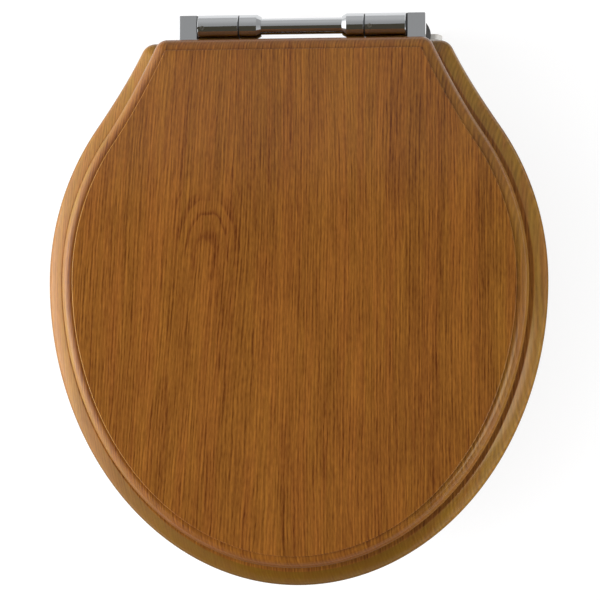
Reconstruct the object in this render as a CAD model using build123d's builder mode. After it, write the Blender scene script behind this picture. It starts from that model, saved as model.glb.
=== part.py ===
from build123d import *
from math import atan2, cos, degrees, radians, sin, tan
import os

os.makedirs("parts", exist_ok=True)

# A wooden toilet seat and lid on a chromed bar hinge with soft-close dampers.
# Millimetres. The origin is midway between the two fixing studs, on the top of the pan.
# +Z is up, +Y points back towards the wall and +X to the right of someone facing the hinge.

# Heights
BUFFER_H = 10.0  # the ring stands this far above the pan, on its buffers
RING_T = 18.0  # thickness of the ring
LID_GAP = 5.0  # the lid lies this far above the ring
LID_T = 17.0  # thickness of the lid
AXIS_RISE = 2.0  # the hinge axis is this far above the top of the ring

# Outline of the ring, measured from its widest line
RING_WIDTH = 370.0
RING_FRONT = 224.0  # forward to the front edge
RING_BACK = 177.0  # back to the straight back edge
REAR_AXIS = 194.0  # half length of the ellipse that the rear of the outline follows
FLARE_START = 35.5  # degrees along that ellipse at which the sides flare off it
FLARE_LEAN = 26.0  # degrees by which the sides lean out at the back corners
RING_BACK_HALF = 112.5  # half the back edge, to the sharp corner
RING_CORNER = 11.0  # radius of the back corners
BACK_EDGE = 10.4  # the back edges of the wood lie this far in front of the hinge axis
WOOD_SHIFT = -5.0  # the wood's centre line, measured from the middle of the hinge

# Edges of the ring and its opening
RING_SLOPE_W = 10.0  # width of the sloped band round the top
RING_SLOPE_H = 5.0  # how far that band falls towards the edge
RING_ROUND = 6.0  # below the sloped band
RING_UNDER_ROUND = 4.0
HOLE_WIDTH = 224.0
HOLE_FRONT_MARGIN = 70.0
HOLE_BACK_MARGIN = 62.0
HOLE_ROUND = 10.0

# Lid: set in from the ring at the sides and front, flush with it at the back
LID_INSET = 13.4
LID_BACK_HALF = 99.5
LID_CORNER = 10.0
LID_OVOLO = 8.0  # radius of the quarter round on the edge
LID_UNDER_ROUND = 3.0
FIELD_INSET = 8.7  # from the lid's edge to the step round its raised field
FIELD_STEP = 1.2  # height of that step
FIELD_ARRIS = 0.6  # radius of its upper arris

# Hinge, from the middle outwards
KNUCKLE_R = 9.0
BAR_R = 6.0
BAR_LENGTH = 60.0  # the thin bar between the seat's knuckles
SEAT_KNUCKLE_L = 16.2
PILLAR_L = 30.2
LID_KNUCKLE_L = 13.4
SEAM = 0.6  # gap between neighbouring knuckles, filled by a washer
SEAT_BEVEL_L = 3.2  # bevel on the inner end of the seat's knuckle
SEAT_BEVEL_R = 1.8
EDGE_BREAK = 0.5  # small chamfer on the chromed pieces

# Leaves of the hinge arms
LEAF_CLEAR = 1.0  # between the lid's leaf and the top of the ring
LID_LEAF_L = 50.0  # how far the leaf reaches under the lid
SEAT_LEAF_T = 4.0
SEAT_LEAF_L = 50.0
WEB_T = 4.5  # wall that joins the seat's knuckle to its leaf
WEB_BEND = 4.0
LEAF_END_R = 5.0
LEAF_SCREWS = (16.0, 38.0)  # distances of the leaf screws from the wood's back edge

# Soft-close damper in each long barrel
DAMPER_R = 7.0  # bore of the barrel
BARREL_END_WALL = 2.5
DAMPER_WALL = 1.4
DAMPER_CAP = 6.5  # closed left end of the damper
SHAFT_R = 3.0
SHAFT_FLAT = 2.2  # distance of the driving flat from the axis
SHAFT_REACH = 8.0  # how far the shaft goes into the knuckle that it drives
PIN_R = 2.5
PIN_REACH = 8.0
PIN_SEAT = 4.5
SPIGOT_R = 4.5  # ends of the thin bar, let into the seat's knuckles
SPIGOT_L = 3.5
GRUB_R = 1.5
GRUB_FROM_END = 3.7  # from the left end of each long barrel
GRUB_LEAN = 10.0  # degrees forward of straight up
GRUB_TIP = 5.8  # distance of the grub screw's tip from the axis
GRUB_SUNK = 0.2
GRUB_KEY_R = 0.85
GRUB_KEY_DEPTH = 1.2
NOTCH_W = 1.8  # small index notch at the left end of each long barrel
NOTCH_L = 1.4
NOTCH_DEPTH = 1.0

# Pillar
STUD_SPACING = 155.0
GASKET_T = 1.5
GASKET_HOLE_R = 4.6
FOOT_T = 4.5
FOOT_DEPTH = 21.0
FOOT_INNER = 2.0  # the foot's inner end, past the middle of the barrel
FOOT_ROUND = 1.5
PLINTH_DEPTH = 12.5
PLINTH_TOP = 14.0
PLINTH_ROUND = 2.0
POST_W = 18.0
POST_DEPTH = 11.0

# Fixings to the pan
STUD_R = 4.0  # plain shank
STUD_SPIGOT_R = 3.4  # end that is screwed into the pillar
STUD_SPIGOT_L = 11.0
STUD_THREAD_R = 3.6
STUD_SHANK_L = 20.0
STUD_LENGTH = 62.0  # below the pan's top
STUD_POINT = 1.2
CONE_TOP_R = 8.0
CONE_BASE_R = 14.0
CONE_H = 9.0
CONE_RIM = 2.0
CONE_DROP = 0.6  # below the end of the shank
PLATE_R = 12.0
PLATE_T = 1.6
NUT_R = 8.0
NUT_H = 13.0
NUT_TOP_R = 9.5
NUT_COLLAR = 3.0
WING_SPAN = 46.0
WING_T = 4.0
WING_TOP = 5.0  # below the top of the nut
WING_H = 13.0
WING_SLOPE = 70.0  # degrees between the wings' ends and their lower edge
WING_ROUND = 3.0

# Buffers
SEAT_BUFFER_L = 38.0
SEAT_BUFFER_W = 16.0
SEAT_BUFFER_DRAFT = 6.0
SEAT_BUFFER_ROUND = 1.2
SEAT_BUFFER_RECESS = 4.0
SEAT_BUFFER_ANGLES = (50.0, -25.0)  # round the middle of the ring, forwards positive
LID_BUFFER_R = 8.0
LID_BUFFER_ROUND = 1.0
LID_BUFFER_RECESS = 1.0
LID_BUFFER_ANGLES = (38.0, -12.0)
LID_BUFFER_CLEAR = 0.3  # between a lid buffer and the ring

# Wood screws
SCREW_R = 2.0
SCREW_HEAD_R = 3.8
SCREW_POINT = 3.0
SCREW_SLOT_W = 0.9
SCREW_SLOT_L = 4.6
SCREW_SLOT_DEPTH = 1.4
SCREW_BITE = 10.0  # length of every screw in the wood
COUNTERSINK = 90.0

# Clearances
FIT = 0.05  # between pieces that are assembled and stay put
RUN = 0.06  # between a shaft and the hole it turns in
WASHER_HOLE_CLEAR = 0.3
WASHER_RIM = 0.4  # a washer is this much smaller than the knuckles

# Levels and places that follow from these
RING_TOP = BUFFER_H + RING_T
LID_BOTTOM = RING_TOP + LID_GAP
LID_TOP = LID_BOTTOM + LID_T
AXIS_Z = RING_TOP + AXIS_RISE
WIDEST_Y = -BACK_EDGE - RING_BACK
FOOT_TOP = GASKET_T + FOOT_T
STUD_X = STUD_SPACING / 2
SEAT_KNUCKLE_X = BAR_LENGTH / 2
PILLAR_X = SEAT_KNUCKLE_X + SEAT_KNUCKLE_L + SEAM
PILLAR_MID = PILLAR_X + PILLAR_L / 2
FOOT_FROM = PILLAR_MID - FOOT_INNER
PLINTH_FROM = PILLAR_MID - POST_W / 2 + POST_DEPTH / 2
LID_KNUCKLE_X = PILLAR_X + PILLAR_L + SEAM
LID_LEAF_T = LID_GAP - LEAF_CLEAR
SEAT_LEAF_W = SEAT_KNUCKLE_L - SEAT_BEVEL_L
SEAT_LEAF_X = SEAT_KNUCKLE_X + SEAT_BEVEL_L
WASHER_T = SEAM - 2 * FIT
CHAMBER_R = DAMPER_R - FIT - DAMPER_WALL
SCREW_HEAD_H = SCREW_HEAD_R - SCREW_R
LID_BUFFER_HEAD = RING_TOP + LID_BUFFER_CLEAR + LID_BUFFER_RECESS
CONE_TOP = -STUD_SHANK_L - CONE_DROP
PLATE_TOP = CONE_TOP - CONE_H
NUT_TOP = PLATE_TOP - PLATE_T
HINGE_AXIS = Axis((0, 0, AXIS_Z), (1, 0, 0))
SIDES = (("left", -1), ("right", 1))


def save(piece, name):
    """Labels a finished piece and writes it as its own node."""
    piece.part.label = name
    export_step(piece.part, f"parts/{name}.step")


def across(x):
    """A plane across the hinge axis: local x is +Y, local y is +Z, centred on the axis."""
    return Plane(origin=(x, 0, AXIS_Z), x_dir=(0, 1, 0), z_dir=(1, 0, 0))


def along():
    """A plane holding the hinge axis: local x is +X, local y is the distance above the axis."""
    return Plane(origin=(0, 0, AXIS_Z), x_dir=(1, 0, 0), z_dir=(0, -1, 0))


def wood_plane(z):
    """A level plane with its origin on the wood's centre line, at the widest line."""
    return Plane.XY.move(Location((WOOD_SHIFT, WIDEST_Y, z)))


def grub_plane(barrel_left):
    """A plane square to the grub screw of a long barrel, through the hinge axis."""
    lean = radians(GRUB_LEAN)
    place = (barrel_left + GRUB_FROM_END, 0, AXIS_Z)
    return Plane(origin=place, x_dir=(1, 0, 0), z_dir=(0, -sin(lean), cos(lean)))


def left_end(sign):
    """The left end of a long barrel: both are bored and fitted from the left."""
    return PILLAR_X if sign > 0 else -PILLAR_X - PILLAR_L


def wood_outline(half, front, rear_axis, back, back_half, corner):
    """The seat's outline: two half ellipses, flared sides and a straight back with round corners."""
    lean = radians(FLARE_LEAN)
    cut = corner * tan((radians(90) - lean) / 2)
    side_end = (back_half + cut * sin(lean), back - cut * cos(lean))
    back_end = (back_half - cut, back)
    with BuildSketch() as outline:
        with BuildLine():
            EllipticalCenterArc((0, 0), half, front, start_angle=-90, arc_size=90)
            rear = EllipticalCenterArc((0, 0), half, rear_axis, start_angle=0, arc_size=FLARE_START)
            flare = Spline(rear @ 1, side_end, tangents=[rear % 1, (-sin(lean), cos(lean))])
            TangentArc(side_end, back_end, tangent=flare % 1)
            Line(back_end, (0, back))
            mirror(about=Plane.YZ)
        make_face()
    return outline.sketch


def hole_outline():
    """The opening in the ring: two half ellipses of one width."""
    half = HOLE_WIDTH / 2
    with BuildSketch() as outline:
        with BuildLine():
            EllipticalCenterArc((0, 0), half, RING_FRONT - HOLE_FRONT_MARGIN, start_angle=180, arc_size=180)
            EllipticalCenterArc((0, 0), half, RING_BACK - HOLE_BACK_MARGIN, start_angle=0, arc_size=180)
        make_face()
    return outline.sketch


def round_the_ring(angle, side):
    """A point on the middle line of the ring, and the direction of that line, from the wood's origin."""
    turn = radians(angle)
    half = (RING_WIDTH + HOLE_WIDTH) / 4
    ahead = RING_FRONT - HOLE_FRONT_MARGIN / 2
    behind = (REAR_AXIS + RING_BACK - HOLE_BACK_MARGIN) / 2
    reach = ahead if angle > 0 else behind
    place = (side * half * cos(turn), -reach * sin(turn))
    heading = degrees(atan2(-reach * cos(turn), -side * half * sin(turn)))
    return place, heading


def buffer_places(angles):
    """Name, place and heading of the four buffers at these angles."""
    rows = zip(("front", "rear"), angles)
    return [(f"{row}_{side}", *round_the_ring(angle, sign)) for row, angle in rows for side, sign in SIDES]


def leaf_screw_places(x, side):
    """Places of the screws in a hinge arm's leaf, seen from above."""
    return [(side * x, -BACK_EDGE - reach) for reach in LEAF_SCREWS]


def from_below(places, z):
    """Planes at these places and this height that face down, for holes bored from below."""
    return [Plane(origin=(x, y, z), z_dir=(0, 0, -1)) for x, y in places]


def cut_pilot_holes(places, z):
    """Drills the wood from below for screws at these places."""
    with Locations(*from_below(places, z)):
        Hole(SCREW_R + FIT, SCREW_BITE + FIT)


def cut_screw_seats(places, z):
    """Countersinks a piece from below, with the heads flush at height z."""
    with Locations(*from_below(places, z)):
        CounterSinkHole(SCREW_R + FIT, SCREW_HEAD_R + FIT, counter_sink_angle=COUNTERSINK)


def wood_screw(through):
    """A countersunk wood screw that points up, its head at the origin, passing through a thickness."""
    end = through + SCREW_BITE
    with BuildPart() as screw:
        with BuildSketch(Plane.XZ):
            with BuildLine():
                Polyline(
                    (0, 0),
                    (SCREW_HEAD_R, 0),
                    (SCREW_R, SCREW_HEAD_H),
                    (SCREW_R, end - SCREW_POINT),
                    (0, end),
                    close=True,
                )
            make_face()
        revolve(axis=Axis.Z)
        with BuildSketch(Plane.XY):
            Rectangle(SCREW_SLOT_L, SCREW_SLOT_W)
            Rectangle(SCREW_SLOT_W, SCREW_SLOT_L)
        extrude(amount=SCREW_SLOT_DEPTH, mode=Mode.SUBTRACT)
    return screw.part


def driving_section(clear):
    """Round section with one flat, as on a damper's shaft."""
    radius = SHAFT_R + clear
    flat = SHAFT_FLAT + clear
    Circle(radius)
    with Locations((0, (flat - radius) / 2)):
        Rectangle(2 * radius, flat + radius, mode=Mode.INTERSECT)


def cut_socket(x, into, driven):
    """Bores a knuckle from its face at x for a damper's shaft or for a pivot pin."""
    reach = SHAFT_REACH if driven else PIN_REACH
    with BuildSketch(across(x)) as socket:
        if driven:
            driving_section(FIT)
        else:
            Circle(PIN_R + RUN)
    extrude(socket.sketch, amount=into * (reach + FIT), mode=Mode.SUBTRACT)


SEAT_BUFFERS = buffer_places(SEAT_BUFFER_ANGLES)
LID_BUFFERS = buffer_places(LID_BUFFER_ANGLES)
SEAT_LEAF_MID = SEAT_LEAF_X + SEAT_LEAF_W / 2
LID_LEAF_MID = LID_KNUCKLE_X + LID_KNUCKLE_L / 2
SEAT_SCREWS = [place for _, side in SIDES for place in leaf_screw_places(SEAT_LEAF_MID, side)]
LID_SCREWS = [place for _, side in SIDES for place in leaf_screw_places(LID_LEAF_MID, side)]
SEAT_BUFFER_SPOTS = [(WOOD_SHIFT + x, WIDEST_Y + y) for _, (x, y), _ in SEAT_BUFFERS]
LID_BUFFER_SPOTS = [(WOOD_SHIFT + x, WIDEST_Y + y) for _, (x, y), _ in LID_BUFFERS]

# Seat ring
with BuildPart() as ring:
    with BuildSketch(wood_plane(BUFFER_H)):
        add(wood_outline(RING_WIDTH / 2, RING_FRONT, REAR_AXIS, RING_BACK, RING_BACK_HALF, RING_CORNER))
    extrude(amount=RING_T)
    top = ring.faces().sort_by(Axis.Z)[-1]
    chamfer(top.edges(), RING_SLOPE_W, RING_SLOPE_H, reference=top)
    slope_foot = RING_TOP - RING_SLOPE_H
    fillet(ring.edges().filter_by_position(Axis.Z, slope_foot, slope_foot), RING_ROUND)
    fillet(ring.faces().sort_by(Axis.Z)[0].edges(), RING_UNDER_ROUND)
    with BuildSketch(wood_plane(BUFFER_H)):
        add(hole_outline())
    extrude(amount=RING_T, mode=Mode.SUBTRACT)
    fillet(ring.faces().sort_by(Axis.Z)[-1].inner_wires()[0].edges(), HOLE_ROUND)
    fillet(ring.faces().sort_by(Axis.Z)[0].inner_wires()[0].edges(), RING_UNDER_ROUND)
    cut_pilot_holes(SEAT_SCREWS + SEAT_BUFFER_SPOTS, BUFFER_H)
save(ring, "seat_ring")

# Lid panel, with a raised field inside the moulded edge
with BuildPart() as lid:
    lid_half = RING_WIDTH / 2 - LID_INSET
    lid_front = RING_FRONT - LID_INSET
    lid_rear = REAR_AXIS - LID_INSET
    with BuildSketch(wood_plane(LID_BOTTOM)):
        add(wood_outline(lid_half, lid_front, lid_rear, RING_BACK, LID_BACK_HALF, LID_CORNER))
    extrude(amount=LID_T - FIELD_STEP)
    fillet(lid.faces().sort_by(Axis.Z)[-1].edges(), LID_OVOLO)
    fillet(lid.faces().sort_by(Axis.Z)[0].edges(), LID_UNDER_ROUND)
    corner_inset = FIELD_INSET * (1 - sin(radians(FLARE_LEAN))) / cos(radians(FLARE_LEAN))
    with BuildSketch(wood_plane(LID_TOP - FIELD_STEP)):
        field = wood_outline(
            lid_half - FIELD_INSET,
            lid_front - FIELD_INSET,
            lid_rear - FIELD_INSET,
            RING_BACK - FIELD_INSET,
            LID_BACK_HALF - corner_inset,
            LID_CORNER - LID_OVOLO,
        )
        add(field)
    extrude(amount=FIELD_STEP)
    fillet(lid.faces().sort_by(Axis.Z)[-1].edges(), FIELD_ARRIS)
    cut_pilot_holes(LID_SCREWS + LID_BUFFER_SPOTS, LID_BOTTOM)
save(lid, "lid_panel")

# Lid arms: a knuckle milled flat under the lid, with a leaf that is screwed to it
for side, sign in SIDES:
    with BuildPart() as lid_arm:
        flat = LID_BOTTOM - AXIS_Z
        leaf_end = BACK_EDGE + LID_LEAF_L
        with BuildSketch(across(sign * LID_KNUCKLE_X)):
            Circle(KNUCKLE_R)
            with Locations((0, flat)):
                Rectangle(2 * KNUCKLE_R, 2 * KNUCKLE_R, align=(Align.CENTER, Align.MIN), mode=Mode.SUBTRACT)
                Rectangle(leaf_end, LID_LEAF_T, align=(Align.MAX, Align.MAX))
        extrude(amount=sign * LID_KNUCKLE_L)
        fillet(lid_arm.faces().sort_by(Axis.Y)[0].edges().filter_by(Axis.Z), LEAF_END_R)
        chamfer(lid_arm.faces().filter_by(Axis.X).edges(), EDGE_BREAK)
        cut_socket(sign * LID_KNUCKLE_X, sign, driven=sign > 0)
        cut_screw_seats(leaf_screw_places(LID_LEAF_MID, sign), LID_BOTTOM - LID_LEAF_T)
    save(lid_arm, f"lid_arm_{side}")

# Seat arms: a bevelled knuckle on a web that turns under the ring into a leaf
for side, sign in SIDES:
    inner = sign * SEAT_KNUCKLE_X
    outer = sign * (SEAT_KNUCKLE_X + SEAT_KNUCKLE_L)
    with BuildPart() as seat_arm:
        with BuildSketch(along()):
            with BuildLine():
                Polyline(
                    (inner, 0),
                    (inner, KNUCKLE_R - SEAT_BEVEL_R),
                    (sign * SEAT_LEAF_X, KNUCKLE_R),
                    (outer - sign * EDGE_BREAK, KNUCKLE_R),
                    (outer, KNUCKLE_R - EDGE_BREAK),
                    (outer, 0),
                    close=True,
                )
            make_face()
        revolve(axis=HINGE_AXIS)
        leaf_top = BUFFER_H - AXIS_Z
        leaf_bottom = leaf_top - SEAT_LEAF_T
        leaf_end = -BACK_EDGE - SEAT_LEAF_L
        with BuildSketch(across(sign * SEAT_LEAF_X)):
            with BuildLine():
                bend_back = (WEB_T - KNUCKLE_R, leaf_bottom + WEB_BEND)
                bend_front = (WEB_T - KNUCKLE_R - WEB_BEND, leaf_bottom)
                Polyline(bend_front, (leaf_end, leaf_bottom), (leaf_end, leaf_top), (-KNUCKLE_R, leaf_top))
                Polyline((-KNUCKLE_R, leaf_top), (-KNUCKLE_R, 0), (WEB_T - KNUCKLE_R, 0), bend_back)
                RadiusArc(bend_back, bend_front, WEB_BEND)
            make_face()
        extrude(amount=sign * SEAT_LEAF_W)
        fillet(seat_arm.faces().sort_by(Axis.Y)[0].edges().filter_by(Axis.Z), LEAF_END_R)
        cut_socket(outer, -sign, driven=sign < 0)
        with BuildSketch(across(inner)):
            Circle(SPIGOT_R + FIT)
        extrude(amount=sign * (SPIGOT_L + FIT), mode=Mode.SUBTRACT)
        cut_screw_seats(leaf_screw_places(SEAT_LEAF_MID, sign), BUFFER_H - SEAT_LEAF_T)
    save(seat_arm, f"seat_arm_{side}")

# Thin bar that ties the two seat arms together
with BuildPart() as tie_bar:
    with BuildSketch(across(-SEAT_KNUCKLE_X)):
        Circle(BAR_R)
    extrude(amount=BAR_LENGTH)
    with BuildSketch(across(-SEAT_KNUCKLE_X - SPIGOT_L)):
        Circle(SPIGOT_R)
    extrude(amount=BAR_LENGTH + 2 * SPIGOT_L)
save(tie_bar, "tie_bar")

# Pillars: foot, plinth over the stud, post and long barrel in one casting
for side, sign in SIDES:
    start = left_end(sign)
    with BuildPart() as pillar:
        with BuildSketch(Plane.XY.offset(GASKET_T)):
            with Locations((sign * (FOOT_FROM + STUD_X) / 2, 0)):
                SlotCenterToCenter(STUD_X - FOOT_FROM, FOOT_DEPTH)
        extrude(amount=FOOT_T)
        fillet(pillar.faces().sort_by(Axis.Z)[-1].edges(), FOOT_ROUND)
        with BuildSketch(Plane.XY.offset(GASKET_T)):
            with Locations((sign * (PLINTH_FROM + STUD_X) / 2, 0)):
                SlotCenterToCenter(STUD_X - PLINTH_FROM, PLINTH_DEPTH)
        extrude(amount=PLINTH_TOP - GASKET_T)
        fillet(pillar.faces().sort_by(Axis.Z)[-1].edges(), PLINTH_ROUND)
        with BuildSketch(Plane.XY.offset(FOOT_TOP)):
            with Locations((sign * PILLAR_MID, 0)):
                SlotOverall(POST_W, POST_DEPTH)
        extrude(amount=AXIS_Z - FOOT_TOP)
        with BuildSketch(along()):
            with BuildLine():
                Polyline(
                    (start, 0),
                    (start, KNUCKLE_R - EDGE_BREAK),
                    (start + EDGE_BREAK, KNUCKLE_R),
                    (start + PILLAR_L - EDGE_BREAK, KNUCKLE_R),
                    (start + PILLAR_L, KNUCKLE_R - EDGE_BREAK),
                    (start + PILLAR_L, 0),
                    close=True,
                )
            make_face()
        revolve(axis=HINGE_AXIS)
        with BuildSketch(across(start)):
            Circle(DAMPER_R)
        extrude(amount=PILLAR_L - BARREL_END_WALL, mode=Mode.SUBTRACT)
        with BuildSketch(across(start)):
            Circle(SHAFT_R + RUN)
        extrude(amount=PILLAR_L, mode=Mode.SUBTRACT)
        with BuildSketch(grub_plane(start)):
            Circle(GRUB_R + FIT)
        extrude(amount=2 * KNUCKLE_R, mode=Mode.SUBTRACT)
        with BuildSketch(grub_plane(start).offset(KNUCKLE_R - NOTCH_DEPTH)):
            with BuildLine():
                Polyline(
                    (-GRUB_FROM_END, -NOTCH_W / 2),
                    (NOTCH_L - GRUB_FROM_END, 0),
                    (-GRUB_FROM_END, NOTCH_W / 2),
                    close=True,
                )
            make_face()
        extrude(amount=2 * NOTCH_DEPTH, mode=Mode.SUBTRACT)
        with BuildSketch(Plane.XY.offset(GASKET_T)):
            with Locations((sign * STUD_X, 0)):
                Circle(STUD_SPIGOT_R + FIT)
        extrude(amount=STUD_SPIGOT_L - GASKET_T + FIT, mode=Mode.SUBTRACT)
    save(pillar, f"pillar_{side}")

# Damper bodies, closed at the left, with a seat for the pivot pin and a dimple for the grub screw
for side, sign in SIDES:
    start = left_end(sign)
    length = PILLAR_L - BARREL_END_WALL - FIT
    with BuildPart() as damper_body:
        with BuildSketch(across(start)):
            Circle(DAMPER_R - FIT)
        extrude(amount=length)
        with BuildSketch(across(start + DAMPER_CAP)):
            Circle(CHAMBER_R)
        extrude(amount=length - DAMPER_CAP, mode=Mode.SUBTRACT)
        with BuildSketch(across(start)):
            Circle(PIN_R + FIT)
        extrude(amount=PIN_SEAT + FIT, mode=Mode.SUBTRACT)
        with BuildSketch(grub_plane(start).offset(GRUB_TIP - FIT)):
            Circle(GRUB_R + FIT)
        extrude(amount=DAMPER_R, mode=Mode.SUBTRACT)
    save(damper_body, f"damper_body_{side}")

# Damper rotors: a drum in the damper and a shaft with a flat that drives the next knuckle
for side, sign in SIDES:
    start = left_end(sign)
    drum_end = start + PILLAR_L - BARREL_END_WALL - 2 * FIT
    barrel_end = start + PILLAR_L
    with BuildPart() as rotor:
        with BuildSketch(across(start + DAMPER_CAP + FIT)):
            Circle(CHAMBER_R - RUN)
        extrude(amount=drum_end - start - DAMPER_CAP - FIT)
        with BuildSketch(across(drum_end)):
            Circle(SHAFT_R)
        extrude(amount=barrel_end + SEAM - drum_end)
        with BuildSketch(across(barrel_end + SEAM)):
            driving_section(0)
        extrude(amount=SHAFT_REACH)
    save(rotor, f"damper_rotor_{side}")

# Pivot pins, from the closed end of each damper into the knuckle beside it
for side, sign in SIDES:
    start = left_end(sign) - SEAM - PIN_REACH
    with BuildPart() as pivot_pin:
        with BuildSketch(across(start)):
            Circle(PIN_R)
        extrude(amount=PIN_REACH + SEAM + PIN_SEAT)
        chamfer(pivot_pin.edges().filter_by(GeomType.CIRCLE), EDGE_BREAK)
    save(pivot_pin, f"pivot_pin_{side}")

# Grub screws that hold the dampers in the long barrels
for side, sign in SIDES:
    level = KNUCKLE_R - GRUB_SUNK
    with BuildPart() as grub:
        with BuildSketch(grub_plane(left_end(sign)).offset(GRUB_TIP)):
            Circle(GRUB_R)
        extrude(amount=level - GRUB_TIP)
        with BuildSketch(grub_plane(left_end(sign)).offset(level)):
            RegularPolygon(GRUB_KEY_R, 6)
        extrude(amount=-GRUB_KEY_DEPTH, mode=Mode.SUBTRACT)
    save(grub, f"grub_screw_{side}")

# Washers in the seams of the hinge
for side, sign in SIDES:
    seams = (("seat_washer", PILLAR_X - SEAM), ("lid_washer", PILLAR_X + PILLAR_L))
    for name, seam in seams:
        with BuildPart() as washer:
            with BuildSketch(across(sign * (seam + FIT))):
                Circle(KNUCKLE_R - WASHER_RIM)
                Circle(SHAFT_R + WASHER_HOLE_CLEAR, mode=Mode.SUBTRACT)
            extrude(amount=sign * WASHER_T)
        save(washer, f"{name}_{side}")

# Gaskets under the feet
for side, sign in SIDES:
    with BuildPart() as gasket:
        with BuildSketch(Plane.XY):
            with Locations((sign * (FOOT_FROM + STUD_X) / 2, 0)):
                SlotCenterToCenter(STUD_X - FOOT_FROM, FOOT_DEPTH)
            with Locations((sign * STUD_X, 0)):
                Circle(GASKET_HOLE_R, mode=Mode.SUBTRACT)
        extrude(amount=GASKET_T)
    save(gasket, f"foot_gasket_{side}")

# Fixing studs: spigot in the pillar, plain shank through the pan, threaded end below
for side, sign in SIDES:
    with BuildPart() as stud:
        with BuildSketch(Plane.XZ):
            with BuildLine():
                Polyline(
                    (0, STUD_SPIGOT_L),
                    (STUD_SPIGOT_R, STUD_SPIGOT_L),
                    (STUD_SPIGOT_R, 0),
                    (STUD_R, 0),
                    (STUD_R, -STUD_SHANK_L),
                    (STUD_THREAD_R, -STUD_SHANK_L),
                    (STUD_THREAD_R, STUD_POINT - STUD_LENGTH),
                    (STUD_THREAD_R - STUD_POINT, -STUD_LENGTH),
                    (0, -STUD_LENGTH),
                    close=True,
                )
            make_face()
        revolve(axis=Axis.Z)
    stud.part.position = (sign * STUD_X, 0, 0)
    save(stud, f"fixing_stud_{side}")

# Rubber cones that centre the studs in the pan's holes
for side, sign in SIDES:
    with BuildPart() as cone:
        with BuildSketch(Plane.XZ):
            with BuildLine():
                Polyline(
                    (STUD_THREAD_R + FIT, CONE_TOP),
                    (CONE_TOP_R, CONE_TOP),
                    (CONE_BASE_R, PLATE_TOP + CONE_RIM),
                    (CONE_BASE_R, PLATE_TOP),
                    (STUD_THREAD_R + FIT, PLATE_TOP),
                    close=True,
                )
            make_face()
        revolve(axis=Axis.Z)
    cone.part.position = (sign * STUD_X, 0, 0)
    save(cone, f"cone_washer_{side}")

# Plate washers between the cones and the nuts
for side, sign in SIDES:
    with BuildPart() as plate:
        with BuildSketch(Plane.XY.offset(NUT_TOP)):
            with Locations((sign * STUD_X, 0)):
                Circle(PLATE_R)
                Circle(STUD_THREAD_R + FIT, mode=Mode.SUBTRACT)
        extrude(amount=PLATE_T)
    save(plate, f"plate_washer_{side}")

# Wing nuts
for side, sign in SIDES:
    with BuildPart() as nut:
        with BuildSketch(Plane.XZ):
            with BuildLine():
                Polyline(
                    (0, NUT_TOP),
                    (NUT_TOP_R, NUT_TOP),
                    (NUT_TOP_R, NUT_TOP - NUT_COLLAR),
                    (NUT_R, NUT_TOP - NUT_H),
                    (0, NUT_TOP - NUT_H),
                    close=True,
                )
            make_face()
        revolve(axis=Axis.Z)
        with BuildSketch(Plane.XZ.offset(-WING_T / 2)) as wings:
            with Locations((0, NUT_TOP - WING_TOP)):
                Trapezoid(WING_SPAN, WING_H, WING_SLOPE, align=(Align.CENTER, Align.MAX))
            fillet(wings.vertices(), WING_ROUND)
        extrude(amount=WING_T)
        with BuildSketch(Plane.XY.offset(NUT_TOP)):
            Circle(STUD_THREAD_R + FIT)
        extrude(amount=-WING_TOP - WING_H - NUT_H, mode=Mode.SUBTRACT)
    nut.part.position = (sign * STUD_X, 0, 0)
    save(nut, f"wing_nut_{side}")

# Rubber buffers under the ring
for name, place, heading in SEAT_BUFFERS:
    with BuildPart() as seat_buffer:
        with BuildSketch(wood_plane(BUFFER_H)):
            with Locations(place):
                SlotOverall(SEAT_BUFFER_L, SEAT_BUFFER_W, rotation=heading)
        extrude(amount=-BUFFER_H, taper=SEAT_BUFFER_DRAFT)
        fillet(seat_buffer.faces().sort_by(Axis.Z)[0].edges(), SEAT_BUFFER_ROUND)
        spot = (WOOD_SHIFT + place[0], WIDEST_Y + place[1])
        cut_screw_seats([spot], SEAT_BUFFER_RECESS)
    save(seat_buffer, f"seat_buffer_{name}")

# Rubber buffers under the lid
for name, place, heading in LID_BUFFERS:
    with BuildPart() as lid_buffer:
        with BuildSketch(wood_plane(LID_BOTTOM)):
            with Locations(place):
                Circle(LID_BUFFER_R)
        extrude(amount=LID_BUFFER_CLEAR - LID_GAP)
        fillet(lid_buffer.faces().sort_by(Axis.Z)[0].edges(), LID_BUFFER_ROUND)
        spot = (WOOD_SHIFT + place[0], WIDEST_Y + place[1])
        cut_screw_seats([spot], LID_BUFFER_HEAD)
    save(lid_buffer, f"lid_buffer_{name}")

# Wood screws, one group for each kind of piece that they hold
SCREW_GROUPS = (
    ("seat_arm_screws", SEAT_SCREWS, BUFFER_H - SEAT_LEAF_T, BUFFER_H),
    ("lid_arm_screws", LID_SCREWS, LID_BOTTOM - LID_LEAF_T, LID_BOTTOM),
    ("seat_buffer_screws", SEAT_BUFFER_SPOTS, SEAT_BUFFER_RECESS, BUFFER_H),
    ("lid_buffer_screws", LID_BUFFER_SPOTS, LID_BUFFER_HEAD, LID_BOTTOM),
)
for name, places, head, wood in SCREW_GROUPS:
    screw = wood_screw(wood - head)
    with BuildPart() as screws:
        with Locations(*[(x, y, head) for x, y in places]):
            add(screw)
    save(screws, name)
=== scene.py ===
# %% [markdown]
# # A wooden toilet seat on a chromed soft-close hinge
#
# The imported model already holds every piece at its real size, in metres, with +Z up and the hinge at
# the back. This lesson dresses it. It sets up the camera and the light, builds finer meshes for the
# pieces that need them, and gives every surface a finish made of nodes.

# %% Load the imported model
import math

import bmesh
import bpy
from mathutils import Matrix, Vector


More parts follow.
